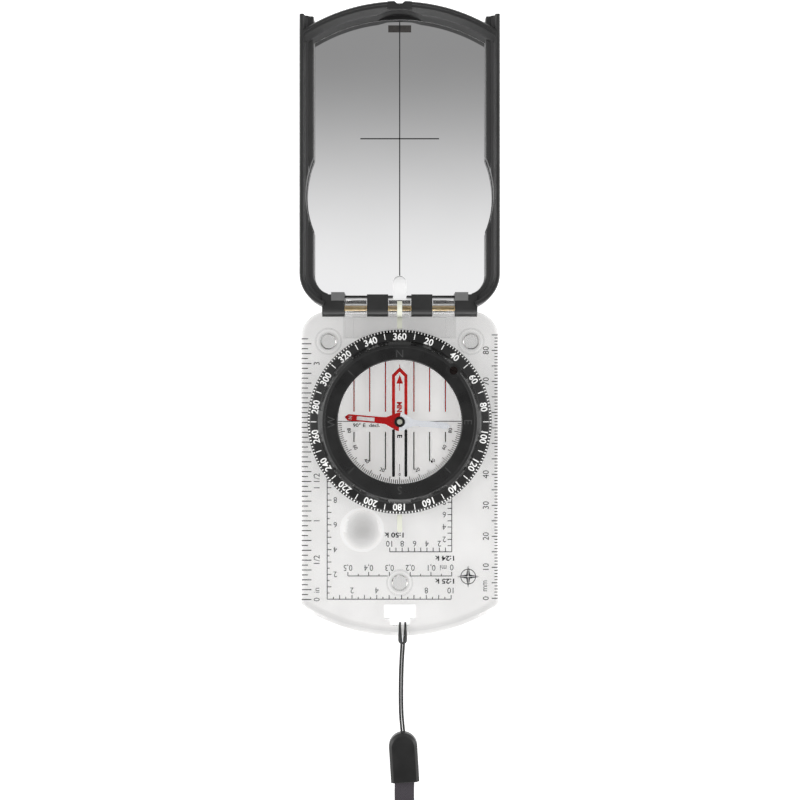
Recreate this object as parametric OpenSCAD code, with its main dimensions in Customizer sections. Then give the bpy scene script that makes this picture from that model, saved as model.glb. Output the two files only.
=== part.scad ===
// Mirror-sighting baseplate compass, laid open flat on a table.
// Origin: on the dial's axis, at the height of the surface it rests on. +Y points to the lid,
// +X to the right of the reader, +Z up. Millimetres.

/* [Base plate] */
// Width of the clear base plate
plate_w = 63.8; // [63.6:0.1:64]
// Thickness of the clear base plate
plate_t = 3.5; // [3.4:0.1:3.6]
// Distance from the dial's axis to the plate's near edge
plate_near = 69.3; // [69:0.1:70]
// Height of the rubber feet below the plate
foot_h = 0.5; // [0.4:0.1:0.6]
// Radius of the magnifier moulded in the plate
lens_r = 7.1; // [6.5:0.1:7.2]

/* [Lid] */
// Thickness of the folded compass
folded_t = 17; // [17:0.1:17.5]
// Width of the lid
lid_w = 63.6; // [63.4:0.1:63.8]
// Distance from the hinge axis to the lid's far edge
lid_reach = 97.2; // [97:0.1:97.6]
// Distance from the dial's axis to the hinge axis
hinge_y = 36.3; // [36.2:0.1:36.4]
// Radius of the brass hinge pin
hinge_pin_r = 0.9; // [0.8:0.05:1]

/* [Dial] */
// Outer radius of the dial
dial_r = 29.6; // [29.4:0.1:29.6]
// Radius of the window over the capsule
window_r = 19.7; // [19.5:0.1:19.7]
// Height of the top of the dial's grip ring
dial_top = 11.2; // [11:0.1:11.3]
// Radius of the hole that the dial turns in
dial_hole_r = 24.4; // [24.3:0.05:24.5]

/* [Declination drive] */
// Gear module
gear_module = 0.6; // [0.6:0.05:0.6]
// Teeth on the capsule's rim
capsule_teeth = 73; // [73:1:73]
// Teeth on the declination screw's pinion
pinion_teeth = 6; // [6:1:6]
// Compass bearing of the declination screw, in degrees
screw_bearing = 46.3; // [45:0.1:47]

/* [Needle] */
// Reach of the needle's north arm
needle_north_reach = 17.8; // [17:0.1:18]
// Reach of the needle's south arm
needle_south_reach = 16.4; // [16:0.1:17]
// Heading of the needle, counterclockwise from +X, in degrees
needle_heading = 175; // [0:1:360]

/* [Lanyard] */
// Diameter of the thin loop cord
loop_d = 0.7; // [0.6:0.1:0.8]
// Width of the neck strap
strap_w = 6.4; // [6:0.1:6.6]
// Thickness of one layer of the neck strap
strap_t = 1; // [0.9:0.1:1.1]

/* [Hidden] */

eps = 0.01;
running = 0.05;                        // radial clearance of a turning fit
round_fn = 96;

// Base plate
plate_z0 = foot_h;
plate_z1 = foot_h + plate_t;
plate_half = plate_w / 2;
plate_far = 35.5;
plate_far_r = 8.3;
plate_near_arc_r = 59.6;
plate_near_arc_y = plate_near_arc_r - plate_near;
plate_side_near = -57.6;               // where the straight sides end
plate_corner_r = 3.2;
bevel_w = 1.2;
bevel_h = 0.9;
dial_gap = 0.3;                        // between the dial and the fixed parts around it
retainer_r = 26;
retainer_z1 = 1.8;
counterbore_r = retainer_r + 0.4;
counterbore_z1 = 2.1;
slab_half = 14.8;
slab_z1 = 5.4;
slab_y0 = 27.2;
rib_half = 17.4;
slab_cut_r = dial_r + 0.4;
lens_rise = 1.5;
lens_at = [-12.2, -35];
foot_r = 2.6;
foot_depth = 1.2;
foot_at = [[-23.1, 26], [23.1, 26], [0, -52.2]];
foot_groove = [3.9, 4.25, 0.25];       // inner radius, outer radius, depth
hole_wide = [4.85, -63.7, -59.3];      // half width, near edge, far edge
hole_narrow = [3.1, -65.9];
bridge_z = [1.2, 3.2];
ramp_y = [-59.3, -57.3];
strip_half = 0.8;

// Hinge
hinge_z = folded_t / 2;
knuckle_r = 2.7;
base_knuckles = [[-17.4, -10.6], [-3.5, 3.5], [10.6, 17.4]];
lid_inner_knuckles = [[-10.4, -3.7], [3.7, 10.4]];
lid_outer_knuckle = [17.6, 24.7];
pin_half = 24.4;

// Lid, open flat: its outer face is down and the mirror faces up
lid_half = lid_w / 2;
lid_far = hinge_y + lid_reach;
rail_z1 = folded_t - plate_z1 - 0.3;   // the rails close to 0.3 mm above the plate
ledge_z1 = 10.3;
lid_floor = 1.5;
pad_z1 = 2;
glass_z1 = 4.2;
corner_r = 10.8;
corner_at = [lid_half - corner_r, 47.2];
rail_w = 1.5;
frame_w = 4.3;                         // rail and ledge together
mirror_half = lid_half - frame_w;
mirror_near = corner_at[1] - corner_r + frame_w;
mirror_corner_r = corner_r - frame_w;
far_arc_r = 56.7;
far_arc_y = lid_far - far_arc_r;
rim_in_r = 53;
mirror_arc_r = rim_in_r - 0.1;
lid_step_y = 129.5;
relief_y = 2 * hinge_y;                // the dial's centre, folded over the hinge
relief_r = dial_r + 0.4;
slot_half = 2.15;
slot_end = 45;
lid_near = 40;
near_bar = 0.6;
web_z1 = hinge_z + knuckle_r;
notch = [1.75, 0.8, 0.75];             // half width at the mouth, half width inside, depth
block_half = 3.9;
block_in = 2.4;
scoop_r = 15.3;

// Dial
dial_z0 = plate_z1 + 0.3;
collar_r = dial_hole_r - running;
collar_low_r = 23.8;
cavity_low_r = 22.9;
collar_z0 = 1;
dial_floor_z = [collar_z0, 2];
cup_r = 21.9;
cavity_r = cup_r + running;
cavity_step_z = 6.4;
lip_z = 10.2;
pad_count = 8;
pad_angle = 16.6;

// Declination drive
drive_centres = gear_module * (capsule_teeth + pinion_teeth) / 2;
drive_angle = 90 - screw_bearing;
screw_at = [drive_centres * cos(drive_angle), drive_centres * sin(drive_angle)];
disc_tip_r = gear_module * (capsule_teeth / 2 + 1);
disc_root_r = gear_module * (capsule_teeth / 2 - 1.25);
pinion_tip_r = gear_module * (pinion_teeth / 2 + 1);
pinion_root_r = gear_module * (pinion_teeth / 2 - 1.25);
rim_teeth_z = [4.9, 5.9];
pinion_z = [4.5, 6.2];
shank_r = 1.3;
screw_z1 = dial_top - 0.5;
boss_r = 2.3;

// Capsule
cup_z = [2.3, 9];
cup_floor_z = 3.1;
cup_in_r = 20;
cup_low_r = disc_root_r;
cup_shoulder_z = 6.6;
top_z1 = 9.9;
seal_r = [20.6, 21.2];
seal_h = 0.3;
boss_in_r = 1.2;
boss_z1 = 3.9;
pin_r = 0.5;

// Needle
needle_z0 = 6.2;
needle_z1 = 6.6;
needle_top = 7.2;
needle_half = 1.05;
hub_r = 3;
jewel_r = 1.2;
cap_r = 1.7;
dot_r = 1.2;

// Lanyard
connector_tilt = 3.5;
connector_top = [1.1, -105.2];         // centre of the connector's round end
connector_r = 4.6;
connector_len = 11.4;                  // from that centre to the strap end
connector_h = 4.2;
connector_bevel = 0.9;
hank_half = 18;
hank_y = [-230, -160];                 // centres of the hank's round ends
hank_z = [0.4, 7];
tie_half_w = 4;
tie_t = 0.4;

// The loop cord's route: out of the connector, under the bridge, up through the hole, over the
// bridge, round the tails, and back the same way
loop_half = [
    [0.7, -101.2, 2], [0.4, -98.5, 1.5], [0.1, -95, 0.7], [0, -91, 0.4], [0, -86, 0.4],
    [0.1, -81, 0.4], [0.3, -76.5, 0.4], [0.5, -73, 0.45], [0.45, -70.8, 0.6],
    [0.3, -69, 0.8], [0.15, -67.2, 0.75], [0.1, -66.3, 0.75], [0.1, -65.65, 0.85],
    [0.1, -65.3, 1.45], [0.1, -65.3, 2.3], [0.1, -65.3, 3.1], [0.05, -65.85, 3.65],
    [0, -67.2, 3.65], [-0.1, -68.8, 3.65], [-0.15, -70, 3.3], [-0.1, -71, 2.5],
    [0.2, -71.6, 1.8]
];
loop_mid = [0.95, -71.9, 1.5];
loop_centre_x = 0.95;
loop_tails_x = 0.42;                   // half the gap that the second tail keeps from the first
loop_route = concat(
    loop_half,
    [loop_mid],
    [for (i = [len(loop_half) - 1:-1:0]) far_side(loop_half[i])]
);
// The second half mirrors the first at the bridge, and its tail lies beside the first tail
function far_side(p) = let (tail = max(0, min(1, (-p[1] - 71.5) / 4)))
    [(1 - tail) * (2 * loop_centre_x - p[0]) + tail * (p[0] + 2 * loop_tails_x), p[1], p[2]];

// The strap's lead: flat out of the connector, then on edge where it joins the hank.
// Each point is x, y, z and how far it has turned on edge, in degrees
lead_route = [
    [1.6, -116.2, 1.3, 0], [1.5, -119, 1.3, 0], [1.5, -122, 1.3, 0], [1.6, -125, 1.6, 8],
    [2, -128.5, 2.4, 24], [2.8, -132, 3, 42], [4.2, -136, 3.4, 60], [6.2, -140, 3.6, 76],
    [8.8, -144.2, 3.7, 86], [11.4, -148.2, 3.7, 90], [13.8, -152.4, 3.7, 90],
    [15.6, -156.4, 3.7, 90]
];

// Vectors and sweeps
function unit(v) = v / norm(v);
function carry(n, t) = unit(n - (n * t) * t);
function spline(a, b, c, d, u) = 0.5 * ((2 * b) + (c - a) * u
    + (2 * a - 5 * b + 4 * c - d) * u * u + (3 * b - a - 3 * c + d) * u * u * u);
function smooth(p, steps) = concat(
    [for (i = [0:len(p) - 2]) for (k = [0:steps - 1])
        spline(p[max(i - 1, 0)], p[i], p[i + 1], p[min(i + 2, len(p) - 1)], k / steps)],
    [p[len(p) - 1]]
);
function tangents(p) = [for (i = [0:len(p) - 1])
    unit(p[min(i + 1, len(p) - 1)] - p[max(i - 1, 0)])];
function round_section(r, sides) = [for (k = [0:sides - 1])
    r * [cos(360 * k / sides), sin(360 * k / sides)]];
// Closes rings of equal length into one solid
module closed_rings(rings) {
    n = len(rings[0]);
    last = len(rings) - 1;
    polyhedron(
        points = [for (ring = rings) for (p = ring) p],
        faces = concat(
            [[for (k = [0:n - 1]) k]],
            [for (i = [0:last - 1]) for (k = [0:n - 1]) for (half = [0, 1])
                half == 0
                    ? [i * n + k, (i + 1) * n + k, (i + 1) * n + (k + 1) % n]
                    : [i * n + k, (i + 1) * n + (k + 1) % n, i * n + (k + 1) % n]],
            [[for (k = [n - 1:-1:0]) last * n + k]]
        )
    );
}
module round_tube(route, r, sides) {
    t = tangents(route);
    count = len(route);
    n = [for (i = 0, v = carry([1, 0, 0], t[0]); i < count;
        v = i + 1 < count ? carry(v, t[i + 1]) : v, i = i + 1) v];
    section = round_section(r, sides);
    closed_rings([for (i = [0:count - 1])
        [for (s = section) route[i] + s[0] * n[i] + s[1] * cross(t[i], n[i])]]);
}
// A strap of rectangular section whose points carry their own turn about the route
module strap_tube(route, w, t) {
    path = [for (p = route) [p[0], p[1], p[2]]];
    along = tangents(path);
    section = [[-w / 2, -t / 2], [w / 2, -t / 2], [w / 2, t / 2], [-w / 2, t / 2]];
    closed_rings([for (i = [0:len(path) - 1])
        let (
            side = unit(cross(along[i], [0, 0, 1])),
            up = cross(side, along[i]),
            a = route[i][3]
        )
        [for (s = section)
            path[i] + s[0] * (cos(a) * side + sin(a) * up) + s[1] * (cos(a) * up - sin(a) * side)]]);
}

// Simple shapes
module tube(r_in, r_out, z0, z1) {
    translate([0, 0, z0]) difference() {
        cylinder(r = r_out, h = z1 - z0, $fn = round_fn);
        translate([0, 0, -1]) cylinder(r = r_in, h = z1 - z0 + 2, $fn = round_fn);
    }
}
module disc(r, z0, z1) {
    translate([0, 0, z0]) cylinder(r = r, h = z1 - z0, $fn = round_fn);
}
module block(x, y, z) {
    translate([x[0], y[0], z[0]]) cube([x[1] - x[0], y[1] - y[0], z[1] - z[0]]);
}
module both_sides() {
    children();
    mirror([1, 0, 0]) children();
}
module along_x(r, x0, x1) {
    translate([x0, hinge_y, hinge_z]) rotate([0, 90, 0]) cylinder(r = r, h = x1 - x0, $fn = 48);
}
// Flat-flanked gear teeth on a root circle; each half thickness is in millimetres
function gear_points(n, root, tip, root_half, tip_half, phase) = [
    for (i = [0:n - 1]) for (p = [[root, -root_half], [tip, -tip_half], [tip, tip_half],
        [root, root_half]])
    let (a = phase + 360 * i / n + p[1] / p[0] * 180 / PI) p[0] * [cos(a), sin(a)]
];

// Base
module plate_outline() {
    intersection() {
        union() {
            translate([-plate_half, plate_side_near])
                square([plate_w, plate_far - plate_far_r - plate_side_near]);
            translate([-plate_half + plate_far_r, 0])
                square([plate_w - 2 * plate_far_r, plate_far]);
            for (side = [-1, 1])
                translate([side * (plate_half - plate_far_r), plate_far - plate_far_r])
                    circle(plate_far_r, $fn = round_fn);
            for (side = [-1, 1])
                translate([side * (plate_half - plate_corner_r), plate_side_near])
                    circle(plate_corner_r, $fn = round_fn);
            translate([-plate_half + plate_corner_r, -plate_near])
                square([plate_w - 2 * plate_corner_r, plate_near]);
        }
        translate([0, plate_near_arc_y]) circle(plate_near_arc_r, $fn = round_fn);
    }
}
// A chamfer along the near arc
module near_bevel() {
    translate([0, plate_near_arc_y, 0]) rotate([0, 0, -150])
        rotate_extrude(angle = 120, $fn = round_fn) polygon([
            [plate_near_arc_r - bevel_w, plate_z1 + eps],
            [plate_near_arc_r + 1, plate_z1 + eps],
            [plate_near_arc_r + 1, plate_z1 - bevel_h * (1 + 1 / bevel_w)]
        ]);
}
module lens_dome() {
    r = (lens_r * lens_r + lens_rise * lens_rise) / (2 * lens_rise);
    intersection() {
        translate([lens_at[0], lens_at[1], plate_z1 + lens_rise - r]) sphere(r, $fn = round_fn);
        translate([lens_at[0], lens_at[1], 0]) disc(lens_r, plate_z1 - eps, plate_z1 + 3);
    }
}
module base_hinge() {
    difference() {
        union() {
            block([-slab_half, slab_half], [slab_y0, hinge_y - knuckle_r + 0.3], [plate_z1 - eps, slab_z1]);
            both_sides() block([slab_half, rib_half], [slab_y0, hinge_y], [plate_z1 - eps, hinge_z]);
        }
        disc(slab_cut_r, 0, 12);
    }
    for (k = base_knuckles) {
        along_x(knuckle_r, k[0], k[1]);
        block(k, [hinge_y - knuckle_r, hinge_y], [plate_z0, hinge_z]);
    }
}
module lanyard_hole() {
    block([-hole_wide[0], hole_wide[0]], [hole_wide[1], hole_wide[2]], [0, 6]);
    block([-hole_narrow[0], hole_narrow[0]], [hole_narrow[1], hole_wide[1] + 1], [0, 6]);
    for (z = [[0, bridge_z[0]], [bridge_z[1], 6]])
        block([-hole_narrow[0], hole_narrow[0]], [-plate_near - 1, hole_narrow[1] + 1], z);
    // The ramp above the hole
    rotate([90, 0, 90]) translate([0, 0, -hole_wide[0]]) linear_extrude(2 * hole_wide[0])
        polygon([[ramp_y[0] - 1, plate_z1 - 2.4], [ramp_y[0], plate_z1 - 1.6],
            [ramp_y[1], plate_z1 + eps], [ramp_y[0] - 1, plate_z1 + eps]]);
}
module base_plate() {
    color([0.88, 0.88, 0.87, 0.5]) difference() {
        union() {
            translate([0, 0, plate_z0]) linear_extrude(plate_t) plate_outline();
            lens_dome();
            base_hinge();
        }
        near_bevel();
        disc(dial_hole_r, 0, 12);
        disc(counterbore_r, 0, counterbore_z1);
        lanyard_hole();
        for (p = foot_at) translate([p[0], p[1], 0]) {
            disc(foot_r, 0, plate_z0 + foot_depth);
            tube(foot_groove[0], foot_groove[1], 0, plate_z0 + foot_groove[2]);
        }
        along_x(hinge_pin_r + running, -pin_half, pin_half);
        block([-strip_half, strip_half], [slab_cut_r, hinge_y - knuckle_r], [slab_z1 - 0.4, 6]);
        block([-strip_half, strip_half], [-35.6, -slab_cut_r], [plate_z1 - 0.3, 6]);
        intersection() {
            block([-strip_half, strip_half], [hinge_y - knuckle_r, hinge_y + 2.3], [hinge_z, 12]);
            difference() {
                along_x(knuckle_r + 1, -strip_half, strip_half);
                along_x(knuckle_r - 0.4, -strip_half - 1, strip_half + 1);
            }
        }
    }
}
module rubber_feet() {
    color([0.75, 0.75, 0.74]) for (p = foot_at) translate([p[0], p[1], 0]) rotate_extrude($fn = 48)
        polygon([[0, 0], [foot_r - 0.3, 0], [foot_r, 0.3], [foot_r, plate_z0 + foot_depth],
            [0, plate_z0 + foot_depth]]);
}
// The luminous strip between dial and hinge, with its cap over the centre knuckle
module index_strip_front() {
    color([0.86, 0.9, 0.72]) {
        block([-strip_half, strip_half], [slab_cut_r, hinge_y - knuckle_r], [slab_z1 - 0.4, slab_z1]);
        intersection() {
            block([-strip_half, strip_half], [hinge_y - knuckle_r, hinge_y + 2.3], [hinge_z, 12]);
            difference() {
                along_x(knuckle_r, -strip_half, strip_half);
                along_x(knuckle_r - 0.4, -strip_half - 1, strip_half + 1);
            }
        }
    }
}
module index_strip_rear() {
    color([0.86, 0.9, 0.72])
        block([-strip_half, strip_half], [-35.6, -slab_cut_r], [plate_z1 - 0.3, plate_z1]);
}

// Dial
module dial_profile() {
    polygon([
        [collar_low_r, collar_z0], [collar_low_r, retainer_z1 + 0.3], [collar_r, retainer_z1 + 0.3],
        [collar_r, dial_z0], [dial_r - 0.3, dial_z0], [dial_r, dial_z0 + 0.3],
        [dial_r, 6.6], [dial_r - 1.1, 7.6],
        [26.1, 8], [25.7, 8.5], [25.1, 10.5], [24.6, dial_top - 0.1],
        [23.9, dial_top], [23.5, dial_top - 0.15], [window_r + 0.3, dial_top - 0.35],
        [window_r, dial_top - 0.6], [window_r, lip_z],
        [cavity_r, lip_z], [cavity_r, cavity_step_z], [cavity_low_r, cavity_step_z],
        [cavity_low_r, collar_z0]
    ]);
}
module grip_pad() {
    rotate([0, 0, -pad_angle / 2]) rotate_extrude(angle = pad_angle, $fn = round_fn)
        polygon([[24.7, 8.2], [26.3, 7.9], [26.1, 9.6], [25.6, 10.4], [24.7, 10.9]]);
}
module dial_ring() {
    color([0.16, 0.16, 0.17]) difference() {
        union() {
            rotate_extrude($fn = round_fn) dial_profile();
            for (i = [0:pad_count - 1]) if (i != 1) rotate([0, 0, 90 - 360 * i / pad_count]) grip_pad();
            intersection() {
                translate([screw_at[0], screw_at[1], 0]) disc(boss_r, 8, dial_top - 0.1);
                tube(cavity_r, dial_r, 0, 12);
            }
        }
        translate([screw_at[0], screw_at[1], 0]) {
            disc(shank_r + running, 6, 12);
            disc(pinion_tip_r + 0.3, 2.6, pinion_z[1] + 0.2);
        }
    }
}
module dial_floor() {
    color([0.9, 0.9, 0.88, 0.4]) disc(cavity_low_r, dial_floor_z[0], dial_floor_z[1]);
}
module dial_retainer() {
    color([0.16, 0.16, 0.17]) rotate_extrude($fn = round_fn)
        polygon([[collar_low_r, collar_z0], [retainer_r - 0.3, collar_z0],
            [retainer_r, collar_z0 + 0.3], [retainer_r, retainer_z1], [collar_low_r, retainer_z1]]);
}

// Declination drive: a slotted shank with its pinion
module declination_screw() {
    color([0.35, 0.2, 0.18]) translate([screw_at[0], screw_at[1], 0]) difference() {
        union() {
            translate([0, 0, pinion_z[0]]) linear_extrude(pinion_z[1] - pinion_z[0])
                polygon(gear_points(pinion_teeth, pinion_root_r, pinion_tip_r, 0.36, 0.16,
                    drive_angle + 180));
            disc(shank_r, pinion_z[1] - eps, screw_z1);
        }
        rotate([0, 0, 70]) translate([-0.25, -2, screw_z1 - 0.5]) cube([0.5, 4, 1]);
    }
}

// Capsule
module capsule_cup() {
    color([0.9, 0.9, 0.88, 0.35]) union() {
        rotate_extrude($fn = round_fn) polygon([
            [0, cup_z[0]], [cup_low_r, cup_z[0]], [cup_low_r, cup_shoulder_z],
            [cup_r, cup_shoulder_z], [cup_r, cup_z[1]], [seal_r[1], cup_z[1]],
            [seal_r[1], cup_z[1] - seal_h], [seal_r[0], cup_z[1] - seal_h],
            [seal_r[0], cup_z[1]], [cup_in_r, cup_z[1]], [cup_in_r, cup_floor_z],
            [boss_in_r, cup_floor_z], [boss_in_r, boss_z1], [pin_r, boss_z1],
            [pin_r, cup_floor_z], [0, cup_floor_z]
        ]);
        difference() {
            translate([0, 0, rim_teeth_z[0]]) linear_extrude(rim_teeth_z[1] - rim_teeth_z[0])
                polygon(gear_points(capsule_teeth, disc_root_r, disc_tip_r, 0.6, 0.15,
                    drive_angle + 180 / capsule_teeth));
            disc(cup_in_r + 0.4, 0, 12);
        }
    }
}
module capsule_top() {
    color([0.92, 0.92, 0.9, 0.3]) union() {
        disc(cup_r - 0.15, cup_z[1], top_z1);
        disc(cup_in_r, cup_z[1] - 0.5, cup_z[1] + eps);
    }
}
module capsule_seal() {
    color([0.2, 0.2, 0.2]) tube(seal_r[0], seal_r[1], cup_z[1] - seal_h, cup_z[1]);
}
module pivot_pin() {
    color("silver") rotate_extrude($fn = 48)
        polygon([[0, cup_floor_z], [pin_r, cup_floor_z], [pin_r, needle_z0 - 0.1], [0.05, 6.85],
            [0, 6.85]]);
}

// Needle
module on_needle() {
    rotate([0, 0, needle_heading]) children();
}
module needle_arm(reach) {
    intersection() {
        linear_extrude(20) union() {
            circle(hub_r, $fn = 64);
            polygon([[0, -hub_r], [hub_r - 0.5, -hub_r + 0.9], [hub_r + 1.4, -needle_half - 0.1],
                [hub_r + 3, -needle_half], [reach - 1.2, -needle_half], [reach, 0],
                [reach - 1.2, needle_half], [hub_r + 3, needle_half],
                [hub_r + 1.4, needle_half + 0.1], [hub_r - 0.5, hub_r - 0.9], [0, hub_r]]);
        }
        translate([0, -5, needle_z1]) cube([30, 10, needle_top - needle_z1]);
    }
}
module needle_half_body(reach) {
    difference() {
        needle_arm(reach);
        disc(jewel_r, 0, 12);
    }
}
module needle_north() {
    color([0.75, 0, 0]) on_needle() needle_half_body(needle_north_reach);
}
module needle_south() {
    color([0.95, 0.95, 0.95]) on_needle() rotate([0, 0, 180]) needle_half_body(needle_south_reach);
}
module needle_magnet() {
    color([0.5, 0.5, 0.52]) on_needle() difference() {
        union() {
            block([-14, 14], [-0.6, 0.6], [needle_z0, needle_z1]);
            disc(2, needle_z0, needle_z1);
        }
        disc(jewel_r, 0, 12);
    }
}
module needle_jewel() {
    color([0.7, 0.3, 0.35]) rotate_extrude($fn = 48)
        polygon([[0.7, needle_z0], [jewel_r, needle_z0], [jewel_r, needle_top], [0, needle_top],
            [0, 7.05], [0.15, 7.05]]);
}
module needle_cap_ring() {
    color([0.1, 0.1, 0.1]) rotate_extrude($fn = 64)
        polygon([[dot_r, needle_top], [cap_r, needle_top], [cap_r, needle_top + 0.3],
            [cap_r - 0.2, needle_top + 0.5], [dot_r, needle_top + 0.5]]);
}
module needle_cap_dot() {
    color([0.88, 0.92, 0.72]) disc(dot_r, needle_top, needle_top + 0.35);
}

// Lid
module mirror_outline() {
    difference() {
        union() {
            intersection() {
                union() {
                    translate([-mirror_half, mirror_near + mirror_corner_r])
                        square([2 * mirror_half, 90]);
                    translate([-corner_at[0], mirror_near]) square([2 * corner_at[0], 20]);
                    for (side = [-1, 1]) translate([side * corner_at[0], corner_at[1]])
                        circle(mirror_corner_r - 0.1, $fn = round_fn);
                }
                translate([0, far_arc_y]) circle(mirror_arc_r, $fn = 2 * round_fn);
            }
            translate([0, relief_y]) circle(relief_r - 0.2, $fn = round_fn);
        }
        slot_outline();
    }
}
module slot_outline() {
    translate([-slot_half, lid_near - 5]) square([2 * slot_half, slot_end - lid_near + 5]);
    translate([0, slot_end]) circle(slot_half, $fn = 48);
}
// Rail and ledge seen end on: u runs inwards from the lid's outer edge
rail_profile = [
    [0.5, 0], [0, 0.5], [0, rail_z1 - 0.4], [0.35, rail_z1], [1.1, rail_z1],
    [rail_w, rail_z1 - 0.5], [rail_w, ledge_z1 + 0.4], [1.9, ledge_z1], [2.7, ledge_z1 - 0.2],
    [2.9, ledge_z1 - 0.9], [frame_w - 0.3, ledge_z1 - 1.1], [frame_w, ledge_z1 - 1.5], [frame_w, 0]
];
rim_profile = [
    [rim_in_r, 0], [far_arc_r - 0.5, 0], [far_arc_r, 0.5], [far_arc_r, rail_z1 - 0.4],
    [far_arc_r - 0.35, rail_z1], [far_arc_r - 0.9, rail_z1], [far_arc_r - 1.1, rail_z1 - 0.3],
    [far_arc_r - 1.8, rail_z1 - 0.3], [far_arc_r - 2.1, rail_z1 - 0.7],
    [far_arc_r - 3.3, rail_z1 - 2.1], [far_arc_r - 3.6, rail_z1 - 2.8],
    [rim_in_r, glass_z1 + 0.2]
];
module rail() {
    translate([-lid_half, lid_step_y, 0]) rotate([90, 0, 0])
        linear_extrude(lid_step_y - corner_at[1]) polygon(rail_profile);
}
module rail_corner() {
    translate([-corner_at[0], corner_at[1], 0]) rotate([0, 0, 180])
        rotate_extrude(angle = 72, $fn = round_fn)
            polygon([for (p = rail_profile) [corner_r - p[0], p[1]]]);
}
module far_rim() {
    intersection() {
        translate([0, far_arc_y, 0]) rotate([0, 0, 50]) rotate_extrude(angle = 80, $fn = 2 * round_fn)
            polygon(rim_profile);
        block([-lid_half + 1, lid_half - 1], [100, 140], [-1, 20]);
    }
}
module lid_floor_plate() {
    linear_extrude(lid_floor) intersection() {
        union() {
            translate([-lid_half + 1, corner_at[1]]) square([lid_w - 2, lid_step_y - corner_at[1]]);
            translate([-corner_at[0], lid_near]) square([2 * corner_at[0], 20]);
            for (side = [-1, 1]) translate([side * corner_at[0], corner_at[1]])
                circle(corner_r - 1, $fn = round_fn);
            translate([0, far_arc_y]) intersection() {
                circle(far_arc_r - 1, $fn = 2 * round_fn);
                translate([-block_half * 6, 40]) square([block_half * 12, 20]);
            }
        }
        translate([-lid_half, lid_near]) square([lid_w, 100]);
    }
}
module lid_hinge() {
    for (k = lid_inner_knuckles) {
        along_x(knuckle_r, k[0], k[1]);
        block(k, [hinge_y, lid_near + near_bar], [3, web_z1]);
        block(k, [hinge_y + 1.5, lid_near + near_bar], [0, web_z1]);
    }
    both_sides() {
        along_x(knuckle_r, lid_outer_knuckle[0], lid_outer_knuckle[1]);
        block(lid_outer_knuckle, [hinge_y, lid_near + near_bar], [1, web_z1]);
        block([lid_outer_knuckle[0], corner_at[0] + 0.5], [hinge_y + 1.5, mirror_near], [0, web_z1]);
        // Clip over the mirror's near edge
        block([lid_outer_knuckle[0], 21.8], [38.6, 41.3], [glass_z1 + 0.1, web_z1 + 0.25]);
    }
    block([-lid_outer_knuckle[0] - 1, lid_outer_knuckle[0] + 1], [lid_near, lid_near + near_bar],
        [0, glass_z1 + 0.4]);
}
module sight_notch() {
    translate([0, lid_far, -1]) linear_extrude(20)
        polygon([[-notch[0], 1], [-notch[0], 0.05], [-notch[1], -notch[2]],
            [notch[1], -notch[2]], [notch[0], 0.05], [notch[0], 1]]);
}
module notch_block() {
    intersection() {
        translate([0, far_arc_y, 0]) tube(far_arc_r - block_in, far_arc_r, 8, rail_z1);
        block([-block_half, block_half], [110, 140], [0, 20]);
    }
}
module lid_frame() {
    color([0.2, 0.2, 0.21]) difference() {
        union() {
            difference() {
                union() {
                    lid_floor_plate();
                    both_sides() {
                        rail();
                        rail_corner();
                    }
                    far_rim();
                }
                // A hollow in the rim's inner slope, under the notch block
                translate([0, lid_far - block_in - scoop_r, 0])
                    disc(scoop_r, glass_z1 + 0.2, rail_z1 - 1.2);
                translate([0, relief_y, 0]) disc(relief_r, lid_floor, 20);
            }
            lid_hinge();
            notch_block();
        }
        translate([0, 0, -1]) linear_extrude(20) slot_outline();
        along_x(hinge_pin_r, -pin_half, pin_half + 1);
        sight_notch();
    }
}
module mirror_glass() {
    color([0.93, 0.93, 0.94]) translate([0, 0, pad_z1]) linear_extrude(glass_z1 - pad_z1)
        mirror_outline();
}
module mirror_pad() {
    color([0.1, 0.1, 0.1]) translate([0, 0, lid_floor]) linear_extrude(pad_z1 - lid_floor)
        mirror_outline();
}
module hinge_pin() {
    color([0.78, 0.63, 0.32]) along_x(hinge_pin_r, -pin_half, pin_half);
}

// Lanyard
module lanyard_loop() {
    color([0.12, 0.12, 0.12]) round_tube(smooth(loop_route, 2), loop_d / 2, 8);
}
// Half of the connector's section, from its middle outwards
function connector_half() = [
    [0, 0], [connector_r - connector_bevel * 0.7, 0], [connector_r, connector_bevel * 0.6],
    [connector_r, connector_h - connector_bevel], [connector_r - connector_bevel, connector_h],
    [0, connector_h]
];
module lanyard_connector() {
    half = connector_half();
    color([0.13, 0.13, 0.13]) translate([connector_top[0], connector_top[1], 0])
        rotate([0, 0, connector_tilt]) {
            rotate_extrude(angle = 180, $fn = round_fn) polygon(half);
            translate([0, eps, 0]) rotate([90, 0, 0]) linear_extrude(connector_len + eps)
                polygon(concat(half, [for (i = [len(half) - 2:-1:1]) [-half[i][0], half[i][1]]]));
        }
}
module strap_lead() {
    color([0.27, 0.25, 0.27]) strap_tube(lead_route, strap_w, 2 * strap_t);
}
module hank_outline(grow) {
    for (y = hank_y) translate([0, y]) circle(hank_half + grow, $fn = round_fn);
    translate([-hank_half - grow, hank_y[0]])
        square([2 * (hank_half + grow), hank_y[1] - hank_y[0]]);
}
module strap_hank() {
    color([0.27, 0.25, 0.27]) translate([0, 0, hank_z[0]]) linear_extrude(hank_z[1] - hank_z[0])
        hank_outline(0);
}
module hank_tie() {
    middle = (hank_y[0] + hank_y[1]) / 2;
    color([0.1, 0.1, 0.1]) difference() {
        block([-hank_half - tie_t, hank_half + tie_t], [middle - tie_half_w, middle + tie_half_w],
            [0, hank_z[1] + tie_t]);
        block([-hank_half, hank_half], [middle - tie_half_w - 1, middle + tie_half_w + 1], hank_z);
    }
}

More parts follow.
